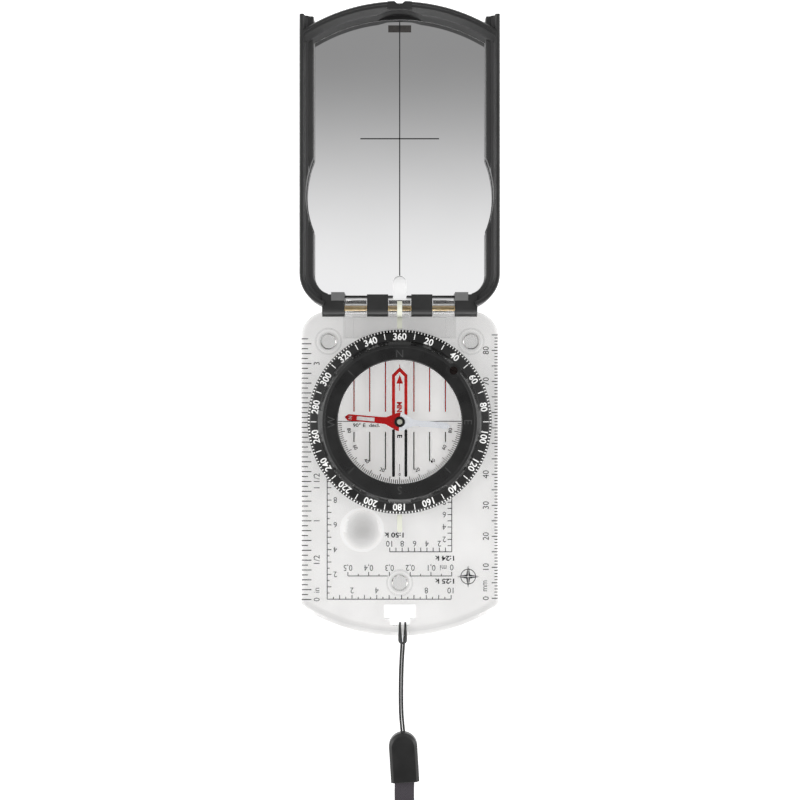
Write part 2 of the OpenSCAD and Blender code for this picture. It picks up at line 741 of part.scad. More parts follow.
base_plate();
rubber_feet();
index_strip_front();
index_strip_rear();
dial_ring();
dial_floor();
dial_retainer();
declination_screw();
capsule_cup();
capsule_top();
capsule_seal();
pivot_pin();
needle_magnet();
needle_north();
needle_south();
needle_jewel();
needle_cap_ring();
needle_cap_dot();
lid_frame();
mirror_glass();
mirror_pad();
hinge_pin();
lanyard_loop();
lanyard_connector();
strap_lead();
strap_hank();
hank_tie();
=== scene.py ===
import math

import bmesh
import bpy
from mathutils import Matrix, Vector


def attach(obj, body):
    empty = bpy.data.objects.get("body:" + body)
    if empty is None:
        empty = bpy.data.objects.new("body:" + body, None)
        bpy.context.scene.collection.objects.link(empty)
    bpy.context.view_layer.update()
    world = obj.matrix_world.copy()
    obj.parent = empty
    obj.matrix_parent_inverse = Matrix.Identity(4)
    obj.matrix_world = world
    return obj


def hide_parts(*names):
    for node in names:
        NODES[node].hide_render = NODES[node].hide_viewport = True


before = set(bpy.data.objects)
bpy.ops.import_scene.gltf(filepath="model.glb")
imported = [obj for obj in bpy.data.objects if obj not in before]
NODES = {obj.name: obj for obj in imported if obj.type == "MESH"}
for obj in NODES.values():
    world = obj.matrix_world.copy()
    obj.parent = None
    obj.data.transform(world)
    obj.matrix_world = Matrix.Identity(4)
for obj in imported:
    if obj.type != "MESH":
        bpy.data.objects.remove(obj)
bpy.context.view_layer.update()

# A mirror-sighting baseplate compass, dressed for the camera. Lengths below are millimetres in
# the frame's own axes unless they say otherwise, and MM turns them into Blender's metres.
MM = 0.001
SCENE = bpy.context.scene
PLATE_TOP = 4.0


# ---------------------------------------------------------------- camera, light and floor
CAMERA_AT = Vector((0.1, 7.0, 480))
VIEW_WIDTH = 258.24          # across the picture, at the base plate's top face
SENSOR = 36                  # width of the camera's sensor
LOW_SKY = 0.6                # brightness near the horizon, against 1 higher up
LOW_UP_TO = 0.45             # height on the unit sphere where the sky stops being low
OVERHEAD = (0.13, 0.5)       # where the ceiling starts and stops fading, in x for each unit of height


def make_camera():
    data = bpy.data.cameras.new("camera")
    data.sensor_width = SENSOR
    data.lens = data.sensor_width * (CAMERA_AT.z - PLATE_TOP) / VIEW_WIDTH
    camera = bpy.data.objects.new("camera", data)
    camera.location = CAMERA_AT * MM
    SCENE.collection.objects.link(camera)
    SCENE.camera = camera


# The ceiling's brightness along y, as (y for each unit of height, brightness) with an easy curve
# from one to the next: dark over the plate, then a reflector that grades from light to grey over
# the mirror.
DARK_SKY = 0.12
LIGHT_SKY = 0.92
GREY_SKY = 0.29
CEILING = (
    (-0.55, 1.0), (-0.35, DARK_SKY), (0.045, DARK_SKY), (0.07, LIGHT_SKY), (0.24, GREY_SKY),
    (0.5, GREY_SKY), (0.9, 1.0),
)


def set_stops(ramp, stops, low, high):
    """Gives a colour ramp grey stops: (place, brightness) pairs, with places from low to high."""
    elements = ramp.elements
    while len(elements) < len(stops):
        elements.new(0.5)
    for element, (at, _) in zip(elements, stops):
        element.position = (at - low) / (high - low)
    for element, (_, bright) in zip(elements, stops):
        element.color = (bright, bright, bright, 1)


def make_world():
    """A white room whose ceiling has a dark and a graded part, for the gloss and the mirror."""
    world = bpy.data.worlds.new("studio")
    world.use_nodes = True
    SCENE.world = world
    tree = world.node_tree
    add, link = tree.nodes.new, tree.links.new
    axes = add("ShaderNodeSeparateXYZ")
    link(add("ShaderNodeTexCoord").outputs["Generated"], axes.inputs[0])

    def maths(kind, a, b=None):
        node = add("ShaderNodeMath")
        node.operation = kind
        link(a, node.inputs[0])
        if b is not None:
            link(b, node.inputs[1])
        return node.outputs[0]

    def ramp(value, start, end, first, last):
        mapped = add("ShaderNodeMapRange")
        mapped.interpolation_type = "SMOOTHSTEP"
        link(value, mapped.inputs["Value"])
        for socket, number in zip(("From Min", "From Max", "To Min", "To Max"), (start, end, first, last)):
            mapped.inputs[socket].default_value = number
        return mapped.outputs["Result"]

    low, high = CEILING[0][0], CEILING[-1][0]
    along = maths("DIVIDE", axes.outputs["Y"], axes.outputs["Z"])
    place = add("ShaderNodeMapRange")
    link(along, place.inputs["Value"])
    place.inputs["From Min"].default_value = low
    place.inputs["From Max"].default_value = high
    graded = add("ShaderNodeValToRGB")
    link(place.outputs["Result"], graded.inputs["Fac"])
    graded.color_ramp.interpolation = "EASE"
    set_stops(graded.color_ramp, CEILING, low, high)
    beside = maths("ABSOLUTE", maths("DIVIDE", axes.outputs["X"], axes.outputs["Z"]))
    overhead = ramp(beside, *OVERHEAD, 1, 0)
    sky = add("ShaderNodeMix")
    link(overhead, sky.inputs["Factor"])
    sky.inputs["A"].default_value = 1.0
    link(graded.outputs["Color"], sky.inputs["B"])
    background = tree.nodes["Background"]
    by_height = ramp(axes.outputs["Z"], 0.0, LOW_UP_TO, LOW_SKY, 1.0)
    link(maths("MULTIPLY", sky.outputs["Result"], by_height), background.inputs["Strength"])
    background.inputs["Color"].default_value = (1.0, 1.0, 1.0, 1)


def soft_box(name, at, size, power):
    """A rectangular light that faces the compass. Its place and size are in metres."""
    data = bpy.data.lights.new(name, "AREA")
    data.shape = "RECTANGLE"
    data.size, data.size_y = size
    data.energy = power
    light = bpy.data.objects.new(name, data)
    light.location = at
    light.rotation_euler = (-Vector(at)).to_track_quat("-Z", "Y").to_euler()
    SCENE.collection.objects.link(light)


FLOOR_HALF = 6.0             # in metres
FLOOR_DROP = 0.02            # keeps the floor clear of the faces that rest on it
FLOOR_GLOW = 0.6


def make_floor():
    bm = bmesh.new()
    bmesh.ops.create_grid(bm, x_segments=1, y_segments=1, size=FLOOR_HALF)
    data = bpy.data.meshes.new("floor")
    bm.to_mesh(data)
    floor = bpy.data.objects.new("floor", data)
    floor.location.z = -FLOOR_DROP * MM
    SCENE.collection.objects.link(floor)
    look = Look("floor_paper", (0.93, 0.93, 0.93), 0.9, specular=0.1)
    look.cloud(300, (0.925, 0.925, 0.925), (0.935, 0.935, 0.935))
    look.shader.inputs["Emission Color"].default_value = (1, 1, 1, 1)
    look.shader.inputs["Emission Strength"].default_value = FLOOR_GLOW
    data.materials.append(look.material)


# ---------------------------------------------------------------- materials
class Look:
    """A Principled material whose textures are sized in millimetres."""

    def __init__(self, name, colour, rough, metallic=0.0, specular=0.5, transmission=0.0, ior=1.46):
        self.material = bpy.data.materials.new(name)
        self.material.use_nodes = True
        self.tree = self.material.node_tree
        self.shader = self.tree.nodes["Principled BSDF"]
        values = {
            "Base Color": (*colour, 1), "Roughness": rough, "Metallic": metallic,
            "Specular IOR Level": specular, "Transmission Weight": transmission, "IOR": ior,
        }
        for socket, value in values.items():
            self.shader.inputs[socket].default_value = value
        self.place = self.scaled(self.add("ShaderNodeTexCoord").outputs["Object"], (1 / MM,) * 3)

    def add(self, kind, **settings):
        made = self.tree.nodes.new(kind)
        for name, value in settings.items():
            setattr(made, name, value)
        return made

    def link(self, start, end):
        self.tree.links.new(start, end)

    def scaled(self, vector, factors):
        node = self.add("ShaderNodeVectorMath", operation="MULTIPLY")
        self.link(vector, node.inputs[0])
        node.inputs[1].default_value = factors
        return node.outputs[0]

    def noise(self, size, detail=2.0, stretch=(1, 1, 1), place=None):
        """Noise from 0 to 1 whose features are about size millimetres across."""
        node = self.add("ShaderNodeTexNoise")
        self.link(self.scaled(place or self.place, tuple(s / size for s in stretch)), node.inputs["Vector"])
        node.inputs["Scale"].default_value = 1.0
        node.inputs["Detail"].default_value = detail
        return node.outputs["Fac"]

    def between(self, value, low, high, start=0.3, end=0.7):
        node = self.add("ShaderNodeMapRange")
        self.link(value, node.inputs["Value"])
        for socket, number in zip(("From Min", "From Max", "To Min", "To Max"), (start, end, low, high)):
            node.inputs[socket].default_value = number
        return node.outputs["Result"]

    def mixed(self, value, first, last):
        node = self.add("ShaderNodeMix", data_type="RGBA")
        self.link(value, node.inputs["Factor"])
        node.inputs["A"].default_value = (*first, 1)
        node.inputs["B"].default_value = (*last, 1)
        return node.outputs["Result"]

    def rings(self, centre, stops):
        """A factor that depends on the distance from a centre in plan: (distance, factor) pairs."""
        offset = self.add("ShaderNodeVectorMath", operation="SUBTRACT")
        self.link(self.place, offset.inputs[0])
        offset.inputs[1].default_value = (*centre, 0)
        away = self.add("ShaderNodeVectorMath", operation="LENGTH")
        self.link(self.scaled(offset.outputs[0], (1, 1, 0)), away.inputs[0])
        low, high = stops[0][0], stops[-1][0]
        ramp = self.add("ShaderNodeValToRGB")
        self.link(self.between(away.outputs["Value"], 0, 1, low, high), ramp.inputs["Fac"])
        set_stops(ramp.color_ramp, stops, low, high)
        return ramp.outputs["Color"]

    def cloud(self, size, dark, light, detail=3.0):
        """Colour that wanders between two shades over size millimetres."""
        value = self.between(self.noise(size, detail), 0, 1)
        self.link(self.mixed(value, dark, light), self.shader.inputs["Base Color"])
        return self

    def worn(self, size, low, high, detail=4.0):
        """Roughness that wanders between two values."""
        self.link(self.between(self.noise(size, detail), low, high), self.shader.inputs["Roughness"])
        return self

    def bump(self, value, depth, strength=1.0):
        """Adds relief of depth millimetres to what the shader already has."""
        node = self.add("ShaderNodeBump")
        node.inputs["Strength"].default_value = strength
        node.inputs["Distance"].default_value = depth * MM
        self.link(value, node.inputs["Height"])
        socket = self.shader.inputs["Normal"]
        if socket.is_linked:
            self.link(socket.links[0].from_socket, node.inputs["Normal"])
        self.link(node.outputs["Normal"], socket)
        return self

    def grain(self, size, depth, detail=2.0, strength=1.0):
        return self.bump(self.noise(size, detail), depth, strength)


def moulded(name, dark, light, rough, grain=0.25, depth=0.012, specular=0.5):
    """Satin moulded plastic: a spark-eroded grain, slow drifts in shade and scuffed gloss."""
    look = Look(name, dark, rough, specular=specular)
    look.cloud(9, dark, light)
    look.worn(5, rough - 0.06, rough + 0.08)
    look.grain(grain, depth)
    return look


def glowing(look, strength):
    """Painted light: adds a faint glow in the part's own colour, though the part is no lamp."""
    look.shader.inputs["Emission Color"].default_value = look.shader.inputs["Base Color"].default_value
    look.shader.inputs["Emission Strength"].default_value = strength
    return look


def clear(name, tint, rough, ior=1.49):
    """Clear acrylic: handling marks in its gloss, and a hardly visible ripple of moulding."""
    look = Look(name, tint, rough, transmission=1.0, ior=ior)
    look.cloud(30, tuple(c * 0.985 for c in tint), tint)
    look.worn(7, rough, rough + 0.03)
    look.grain(14, 0.02, strength=0.5)
    return look


def streaked(look):
    """Faint grey bands along the meridians, where the capsule's grooved floor gathers shade."""
    bands = look.between(look.noise(7, 2.0, (1, 0.12, 1)), 0, 1, 0.35, 0.65)
    look.link(look.mixed(bands, (0.93, 0.922, 0.917), (1.0, 0.995, 0.99)), look.shader.inputs["Base Color"])
    return look


def plate_acrylic():
    """The plate's clear acrylic, with painted shade and painted highlights laid out on its moulded shapes:
    grey with a light rim under the magnifier's crown, grey and light rings round the feet, a grey band
    inside the near edge, darker by the hinge, and a little greyer from the near end to the far one."""
    look = Look("clear_acrylic", PLATE_TINT, 0.02, transmission=1.0, ior=1.49)
    drift = look.between(look.noise(16, 3.0), 0, 1)
    cloudy = look.mixed(drift, tuple(c * 0.93 for c in PLATE_TINT), PLATE_TINT)
    # Painted shade: darker over the thicker part by the hinge, within HINGE_HALF of the middle.
    split = look.add("ShaderNodeSeparateXYZ")
    look.link(look.place, split.inputs[0])
    shade = look.between(split.outputs["Y"], 1.0, PAINTED_HINGE_SHADE, HINGE_Y - 0.6, HINGE_Y)
    beside = look.add("ShaderNodeMath", operation="ABSOLUTE")
    look.link(split.outputs["X"], beside.inputs[0])
    outside = look.between(beside.outputs[0], 0.0, 1.0, HINGE_HALF - 0.2, HINGE_HALF + 0.2)
    lighter = look.add("ShaderNodeMath", operation="MAXIMUM")
    look.link(shade, lighter.inputs[0])
    look.link(outside, lighter.inputs[1])
    shade = lighter.outputs[0]
    # Painted shade and painted highlights in rings round the magnifier, the feet and the near edge, and
    # greyer towards the far end.
    for centre, stops in PAINTED_PLATE_RINGS:
        both = look.add("ShaderNodeMath", operation="MULTIPLY")
        look.link(shade, both.inputs[0])
        look.link(look.rings(centre, stops), both.inputs[1])
        shade = both.outputs[0]
    shaded = look.add("ShaderNodeVectorMath", operation="SCALE")
    look.link(cloudy, shaded.inputs[0])
    look.link(shade, shaded.inputs["Scale"])
    look.link(shaded.outputs[0], look.shader.inputs["Base Color"])
    look.worn(7, 0.02, 0.05)
    look.grain(14, 0.02, strength=0.5)
    return look


def ink(name, colour):
    """Screen-printed ink, slightly uneven in cover."""
    look = Look(name, colour, 0.55, specular=0.12)
    look.cloud(1.2, tuple(c * 0.9 for c in colour), tuple(min(1, c * 1.08 + 0.004) for c in colour))
    look.worn(0.8, 0.48, 0.62)
    return look


def metal(name, dark, light, rough, streak=(1, 1, 1)):
    look = Look(name, light, rough, metallic=1.0)
    look.cloud(2.5, dark, light)
    fine = look.noise(0.12, 2.0, streak)
    look.link(look.between(fine, rough - 0.05, rough + 0.1), look.shader.inputs["Roughness"])
    look.bump(fine, 0.004)
    return look


def rubbery(name, dark, light):
    look = Look(name, dark, 0.6, specular=0.4)
    look.cloud(3, dark, light)
    look.worn(1.5, 0.52, 0.72)
    look.grain(0.15, 0.01)
    return look


def mirror_silver():
    """Silvered glass with a film of fingerprints."""
    look = Look("mirror_silver", (0.93, 0.93, 0.935), 0.01, metallic=1.0)
    look.cloud(25, (0.915, 0.915, 0.92), (0.935, 0.935, 0.94))
    look.worn(9, 0.008, 0.03)
    return look


def ground_edge():
    """The mirror's ground rim, with a painted glow that lightens it as if lit."""
    look = Look("ground_edge", (0.9, 0.9, 0.9), 0.5)
    look.cloud(3, (0.82, 0.83, 0.83), (0.95, 0.95, 0.95))
    look.worn(2, 0.4, 0.6)
    return glowing(look, 0.4)


def webbing(name, dark, light):
    """Plain-woven ribbon: warp along the ribbon, weft across, from the piece's own UV in mm."""
    look = Look(name, dark, 0.85, specular=0.15)
    look.shader.inputs["Sheen Weight"].default_value = 0.25
    look.shader.inputs["Sheen Roughness"].default_value = 0.5
    uv = look.add("ShaderNodeTexCoord").outputs["UV"]
    split = look.add("ShaderNodeSeparateXYZ")
    look.link(uv, split.inputs[0])

    def wave(socket, pitch, shift=None):
        scale = look.add("ShaderNodeMath", operation="MULTIPLY")
        look.link(socket, scale.inputs[0])
        scale.inputs[1].default_value = 2 * math.pi / pitch
        value = scale.outputs[0]
        if shift is not None:
            moved = look.add("ShaderNodeMath", operation="ADD")
            look.link(value, moved.inputs[0])
            look.link(shift, moved.inputs[1])
            value = moved.outputs[0]
        sine = look.add("ShaderNodeMath", operation="SINE")
        look.link(value, sine.inputs[0])
        return sine.outputs[0]

    def join(kind, a, b):
        node = look.add("ShaderNodeMath", operation=kind)
        look.link(a, node.inputs[0])
        if isinstance(b, (int, float)):
            node.inputs[1].default_value = b
        else:
            look.link(b, node.inputs[1])
        return node.outputs[0]

    over = join("MULTIPLY", wave(split.outputs["X"], 0.9), wave(split.outputs["Y"], 0.8))
    ribs = join("ABSOLUTE", wave(split.outputs["Y"], 0.8), 0)
    height = join("ADD", join("MULTIPLY", over, 0.35), join("MULTIPLY", ribs, 0.5))
    fibre = look.noise(0.12, 3.0, (1, 1, 1), look.scaled(uv, (0.4, 2.0, 1)))
    shade = join("ADD", height, join("MULTIPLY", fibre, 0.5))
    look.link(look.mixed(look.between(shade, 0, 1, -0.2, 1.1), dark, light), look.shader.inputs["Base Color"])
    look.worn(4, 0.8, 0.92)
    look.bump(height, 0.12, 0.8)
    look.bump(fibre, 0.03, 0.6)
    return look


def braid(name, dark, light):
    """A thin round braid: two sets of strands that wind opposite ways, from UV in mm."""
    look = Look(name, dark, 0.7, specular=0.25)
    look.shader.inputs["Sheen Weight"].default_value = 0.2
    uv = look.add("ShaderNodeTexCoord").outputs["UV"]
    waves = []
    for lean in (1, -1):
        turned = look.add("ShaderNodeMapping")
        turned.inputs["Rotation"].default_value = (0, 0, lean * math.radians(40))
        look.link(uv, turned.inputs["Vector"])
        strands = look.add("ShaderNodeTexWave", wave_type="BANDS", bands_direction="X")
        strands.inputs["Scale"].default_value = 0.9
        look.link(turned.outputs["Vector"], strands.inputs["Vector"])
        waves.append(strands.outputs["Fac"])
    top = look.add("ShaderNodeMath", operation="MAXIMUM")
    look.link(waves[0], top.inputs[0])
    look.link(waves[1], top.inputs[1])
    look.link(look.mixed(top.outputs[0], dark, light), look.shader.inputs["Base Color"])
    look.worn(2, 0.62, 0.8)
    look.bump(top.outputs[0], 0.06)
    return look


PLATE_TINT = (0.80, 0.795, 0.79)
# Painted shade over the thicker part of the plate by the hinge, between the dial and the lid
HINGE_Y = 27.2               # near edge of the thicker part by the hinge
HINGE_HALF = 18.1            # half its width
PAINTED_HINGE_SHADE = 0.86
# Painted shade by distance from a centre in plan, as (distance, factor) pairs; a factor above 1 is a painted
# highlight
FOOT_SHADES = ((2.55, 1.0), (2.65, 0.75), (3.0, 0.92), (3.7, 1.04), (3.95, 0.9), (4.3, 0.9), (4.5, 1.0))
LENS_SHADES = (
    (0, 0.68), (1.8, 0.71), (3.9, 0.80), (5.4, 0.93), (6.2, 1.04), (6.9, 1.12), (7.2, 1.0),
)
NEAR_EDGE_SHADES = ((56.4, 1.0), (57.2, 0.9), (58.3, 0.84), (58.6, 0.97), (59.6, 0.97))
# Painted shade, a little greyer towards the plate's far end
FAR_SHADES = ((0, 1.0), (30, 1.0), (70, 0.97), (95, 0.95))
FEET = ((-23.1, 26), (23.1, 26), (0, -52.2))
PAINTED_PLATE_RINGS = (
    ((-12.2, -35), LENS_SHADES), ((0, -60), FAR_SHADES), ((0, -9.7), NEAR_EDGE_SHADES),
    (FEET[0], FOOT_SHADES), (FEET[1], FOOT_SHADES), (FEET[2], FOOT_SHADES),
)
LOOKS = {
    "plate": plate_acrylic(),
    "capsule": streaked(clear("capsule_acrylic", (0.995, 0.99, 0.985), 0.0, 1.18)),
    "window": clear("window_acrylic", (0.995, 0.995, 0.995), 0.0),
    "dial": moulded("dial_black", (0.005, 0.005, 0.005), (0.009, 0.009, 0.009), 0.28, depth=0.005),
    "lid": moulded("lid_black", (0.010, 0.010, 0.010), (0.016, 0.016, 0.016), 0.36, 0.3, 0.009),
    # Raised letters and ticks of the dial's own black plastic, made lighter as a painted highlight on their
    # relief.
    "letter": moulded("raised_letter_highlight", (0.045, 0.045, 0.045), (0.06, 0.06, 0.06), 0.25, depth=0.004),
    "clip": moulded("clip_grey", (0.10, 0.10, 0.10), (0.14, 0.14, 0.14), 0.4, 0.3, 0.01),
    "connector": moulded("connector_black", (0.004, 0.004, 0.004), (0.007, 0.007, 0.007), 0.36, depth=0.006),
    "black_ink": ink("black_ink", (0.012, 0.012, 0.013)),
    "white_ink": ink("white_ink", (0.86, 0.86, 0.85)),
    "red_ink": ink("red_ink", (0.76, 0.008, 0.005)),
    "red": moulded("needle_red", (0.54, 0.001, 0.002), (0.62, 0.002, 0.003), 0.35, 0.2, 0.004, 0.1),
    # The needle's white arm carries a painted glow that lightens it in the capsule's shade.
    "white": glowing(
        moulded("needle_white", (0.86, 0.885, 0.93), (0.90, 0.92, 0.96), 0.35, 0.2, 0.004), 0.14
    ),
    "luminous": moulded("luminous", (0.58, 0.59, 0.49), (0.64, 0.65, 0.56), 0.55, 0.12, 0.01, 0.2),
    "feet": clear("clear_silicone", (0.985, 0.985, 0.985), 0.1, 1.41),
    "black_rubber": rubbery("black_rubber", (0.012, 0.012, 0.012), (0.02, 0.02, 0.02)),
    "brass": metal("brass", (0.72, 0.50, 0.22), (1.0, 0.80, 0.48), 0.36, (0.15, 1, 1)),
    "steel": metal("steel", (0.42, 0.42, 0.44), (0.56, 0.56, 0.58), 0.25),
    "screw": metal("dark_screw", (0.012, 0.010, 0.010), (0.035, 0.026, 0.024), 0.4),
    "jewel": Look("jewel", (0.75, 0.3, 0.35), 0.05, transmission=0.6, ior=1.76).worn(0.5, 0.03, 0.08),
    "mirror": mirror_silver(),
    "ground_edge": ground_edge(),
    # Dark colour for the painted reflection of the sighting block on the mirror.
    "painted_block_reflection": ink("painted_block_reflection", (0.045, 0.042, 0.04)),
    "strap": webbing("strap_weave", (0.024, 0.020, 0.025), (0.060, 0.053, 0.062)),
    "tie": webbing("tie_weave", (0.010, 0.010, 0.010), (0.03, 0.03, 0.03)),
    "cord": braid("cord_braid", (0.006, 0.006, 0.006), (0.03, 0.03, 0.03)),
}


# ---------------------------------------------------------------- making pieces
def paint(node, look):
    """A CAD node keeps its shape and takes a finish."""
    data = NODES[node].data
    data.materials.clear()
    data.materials.append(LOOKS[look].material)


def piece(name, bm, body, look, nodes=(), smooth=35):
    """An object from a bmesh in metres, shaded smooth up to an angle, riding on a body."""
    data = bpy.data.meshes.new(name)
    bm.to_mesh(data)
    bm.free()
    data.shade_smooth()
    data.set_sharp_from_angle(angle=math.radians(smooth))
    return placed(name, data, body, look, nodes)


def placed(name, data, body, look, nodes, edge=None):
    """An object on a finished mesh, riding on a body in place of some CAD nodes."""
    if not edge:
        data.materials.clear()
        data.materials.append(LOOKS[look].material)
    made = bpy.data.objects.new(name, data)
    SCENE.collection.objects.link(made)
    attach(made, body)
    if nodes:
        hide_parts(*nodes)
    return made


def softened(name, node, body, look, width, segments=2, over=30, edge=None):
    """A copy of a CAD node with its sharp edges rounded to width, in place of that node.
    The rounded edges may have a look of their own."""
    bm = bmesh.new()
    bm.from_mesh(NODES[node].data)
    bmesh.ops.remove_doubles(bm, verts=bm.verts, dist=0.002 * MM)
    bmesh.ops.dissolve_limit(bm, angle_limit=math.radians(1), verts=bm.verts, edges=bm.edges)
    data = bpy.data.meshes.new(name + "_rough")
    bm.to_mesh(data)
    bm.free()
    data.shade_smooth()
    rough = bpy.data.objects.new(name + "_rough", data)
    SCENE.collection.objects.link(rough)
    bevel = rough.modifiers.new("edges", "BEVEL")
    bevel.width = width * MM
    bevel.segments = segments
    bevel.limit_method = "ANGLE"
    bevel.angle_limit = math.radians(over)
    bevel.use_clamp_overlap = True
    if edge:
        data.materials.append(LOOKS[look].material)
        data.materials.append(LOOKS[edge].material)
        bevel.material = 1
    flat = rough.modifiers.new("flat_faces_stay_flat", "WEIGHTED_NORMAL")
    flat.weight = 100
    bpy.context.view_layer.update()
    data = bpy.data.meshes.new_from_object(rough.evaluated_get(bpy.context.evaluated_depsgraph_get()))
    data.name = name
    bpy.data.objects.remove(rough)
    return placed(name, data, body, look, (node,), edge)


# ---------------------------------------------------------------- marks: thin printed or raised shapes
THICK = 0.03                 # of a printed mark
CAPITAL = 0.69               # height of a capital in the built-in font at size 1


class Marks:
    """Thin closed shapes lying on a surface, gathered in one mesh."""

    def __init__(self, base, thick=THICK):
        self.bm = bmesh.new()
        self.base = base if callable(base) else lambda x, y: base
        self.thick = thick

    def at(self, x, y, top):
        return self.bm.verts.new(Vector((x, y, self.base(x, y) + self.thick * top)) * MM)

    def shape(self, points):
        """A closed prism on an outline, given counterclockwise."""
        low = [self.at(x, y, 0) for x, y in points]
        high = [self.at(x, y, 1) for x, y in points]
        self.bm.faces.new(high)
        self.bm.faces.new(low[::-1])
        for i in range(len(points)):
            j = (i + 1) % len(points)
            self.bm.faces.new((low[i], low[j], high[j], high[i]))

    def line(self, start, end, width, round_ends=False):
        a, b = Vector(start), Vector(end)
        along = (b - a).normalized()
        side = Vector((-along.y, along.x)) * width / 2
        turns = [math.pi * k / 6 for k in range(7)] if round_ends else [0, math.pi]
        points = [b - Matrix.Rotation(t, 2) @ side for t in turns]
        points += [a + Matrix.Rotation(t, 2) @ side for t in turns]
        self.shape(points)

    def radial(self, bearing, inner, outer, width):
        """A tick along a radius, at a compass bearing in degrees."""
        out = Vector((math.sin(math.radians(bearing)), math.cos(math.radians(bearing))))
        self.line(out * inner, out * outer, width)

    def ring(self, centre, inner, outer, steps=64):
        for k in range(steps):
            a, b = 2 * math.pi * k / steps, 2 * math.pi * (k + 1) / steps
            self.shape([
                (centre[0] + r * math.cos(t), centre[1] + r * math.sin(t))
                for r, t in ((inner, a), (outer, a), (outer, b), (inner, b))
            ])

    def text(self, words, centre, height, turn=0.0, bold=0.0, squeeze=1.0):
        """Letters of a capital's height, centred on a point and turned counterclockwise in degrees."""
        curve = bpy.data.curves.new("letters", "FONT")
        curve.body = words
        curve.align_x = "CENTER"
        curve.align_y = "CENTER"
        curve.resolution_u = 3
        curve.extrude = 0.5
        curve.offset = bold
        holder = bpy.data.objects.new("letters", curve)
        SCENE.collection.objects.link(holder)
        bpy.context.view_layer.update()
        flat = bpy.data.meshes.new_from_object(holder.evaluated_get(bpy.context.evaluated_depsgraph_get()))
        bpy.data.objects.remove(holder)
        scale = height / CAPITAL
        heights = [v.co.y for v in flat.vertices]
        middle = (min(heights) + max(heights)) / 2
        spin = Matrix.Rotation(math.radians(turn), 2)
        verts = []
        for v in flat.vertices:
            p = spin @ Vector((v.co.x * scale * squeeze, (v.co.y - middle) * scale))
            verts.append(self.at(centre[0] + p.x, centre[1] + p.y, 1 if v.co.z > 0 else 0))
        for polygon in flat.polygons:
            corners = [verts[i] for i in polygon.vertices]
            if len(set(corners)) == len(corners) and not self.bm.faces.get(corners):
                self.bm.faces.new(corners)
        bpy.data.meshes.remove(flat)

    def done(self, name, body, look, slot):
        bmesh.ops.remove_doubles(self.bm, verts=self.bm.verts, dist=0.001 * MM)
        bmesh.ops.recalc_face_normals(self.bm, faces=self.bm.faces)
        return piece(name, self.bm, body, look, smooth=20)


# ---------------------------------------------------------------- cords
def smooth_route(points, steps):
    """A Catmull-Rom curve through points of any length of tuple."""
    route = []
    last = len(points) - 1
    for i in range(last):
        a, b, c, d = (points[min(max(j, 0), last)] for j in (i - 1, i, i + 1, i + 2))
        for k in range(steps):
            u = k / steps
            route.append(tuple(
                0.5 * (2 * q + (r - p) * u + (2 * p - 5 * q + 4 * r - s) * u * u
                       + (3 * q - p - 3 * r + s) * u ** 3)
                for p, q, r, s in zip(a, b, c, d)
            ))
    return route + [tuple(points[last])]


def evened(points, step):
    """Points at even steps, measured in plan, along the straight lines through the given ones."""
    gone = [0.0]
    for a, b in zip(points, points[1:]):
        gone.append(gone[-1] + math.dist(a[:2], b[:2]))
    count = round(gone[-1] / step)
    even = []
    i = 0
    for k in range(count + 1):
        at = gone[-1] * k / count
        while i < len(gone) - 2 and gone[i + 1] < at:
            i += 1
        u = (at - gone[i]) / (gone[i + 1] - gone[i])
        even.append(tuple(a + (b - a) * u for a, b in zip(points[i], points[i + 1])))
    return even


def swept(name, route, frames, section, body, look, nodes):
    """A closed tube: section points (across, through) are placed by each ring's two directions."""
    bm = bmesh.new()
    layer = bm.loops.layers.uv.new("along")
    count = len(section)
    rings = [
        [bm.verts.new((p + u * a + v * b) * MM) for a, b in section]
        for p, (u, v) in zip(route, frames)
    ]
    travelled = [0.0]
    for a, b in zip(route, route[1:]):
        travelled.append(travelled[-1] + (b - a).length)
    around = [0.0]
    for k in range(count):
        step = Vector(section[(k + 1) % count]) - Vector(section[k])
        around.append(around[-1] + step.length)
    for i in range(len(rings) - 1):
        for k in range(count):
            j = (k + 1) % count
            face = bm.faces.new((rings[i][k], rings[i][j], rings[i + 1][j], rings[i + 1][k]))
            corners = ((i, k), (i, k + 1), (i + 1, k + 1), (i + 1, k))
            for loop, (ring, at) in zip(face.loops, corners):
                loop[layer].uv = (travelled[ring], around[at])
    bm.faces.new(rings[0][::-1])
    bm.faces.new(rings[-1])
    bmesh.ops.recalc_face_normals(bm, faces=bm.faces)
    return piece(name, bm, body, look, nodes, smooth=60)


LOOP_D = 0.7
LOOP_CENTRE_X = 0.95
LOOP_TAILS = 0.42            # half the gap between the loop's two tails
LOOP_HALF = [
    (0.7, -101.2, 2), (0.4, -98.5, 1.5), (0.1, -95, 0.7), (0, -91, 0.4), (0, -86, 0.4),
    (0.1, -81, 0.4), (0.3, -76.5, 0.4), (0.5, -73, 0.45), (0.45, -70.8, 0.6),
    (0.3, -69, 0.8), (0.15, -67.2, 0.75), (0.1, -66.3, 0.75), (0.1, -65.65, 0.85),
    (0.1, -65.3, 1.45), (0.1, -65.3, 2.3), (0.1, -65.3, 3.1), (0.05, -65.85, 3.65),
    (0, -67.2, 3.65), (-0.1, -68.8, 3.65), (-0.15, -70, 3.3), (-0.1, -71, 2.5),
    (0.2, -71.6, 1.8),
]
LOOP_MIDDLE = (0.95, -71.9, 1.5)


def far_side(point):
    """The loop's other half: mirrored at the bridge, and beside the first tail below it."""
    x, y, z = point
    tail = max(0, min(1, (-y - 71.5) / 4))
    return (1 - tail) * (2 * LOOP_CENTRE_X - x) + tail * (x + 2 * LOOP_TAILS), y, z


